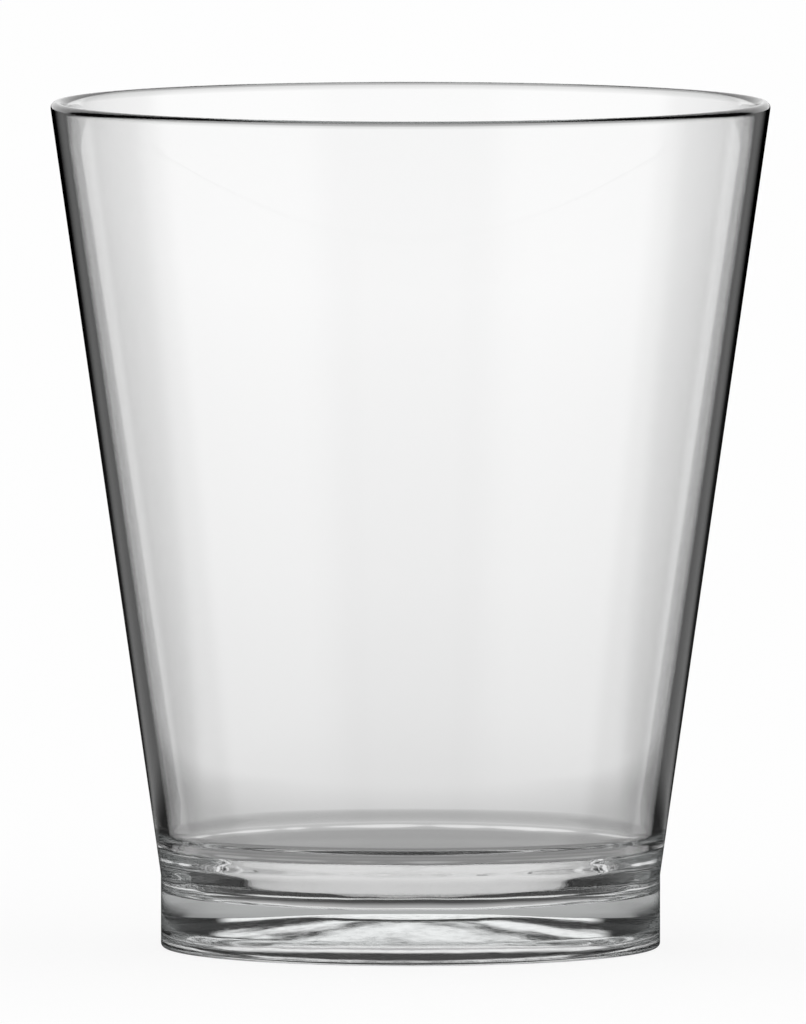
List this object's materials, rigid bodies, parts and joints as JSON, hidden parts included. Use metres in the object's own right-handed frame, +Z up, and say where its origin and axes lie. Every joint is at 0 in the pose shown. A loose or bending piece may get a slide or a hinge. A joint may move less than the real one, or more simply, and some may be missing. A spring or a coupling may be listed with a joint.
{
  "type": "tumbler",
  "caption": "Clear glass tumbler with a flared conical wall, a straight heavy foot, a rounded bowl inside and a fire-polished rim.",
  "frame": {"origin": "centre of the plane that the foot stands on", "axes": "+Z up along the axis of the tumbler, from the foot to the rim; it is round, so X and Y are free"},
  "size_m": [0.085, 0.085, 0.1],
  "materials": {
    "clear_glass": "clear pressed soda-lime glass, fire-polished all over, slightly frosted by wear on the ring it stands on"
  },
  "bodies": {
    "root": {"tumbler_body": "clear_glass"}
  },
  "joints": []
}
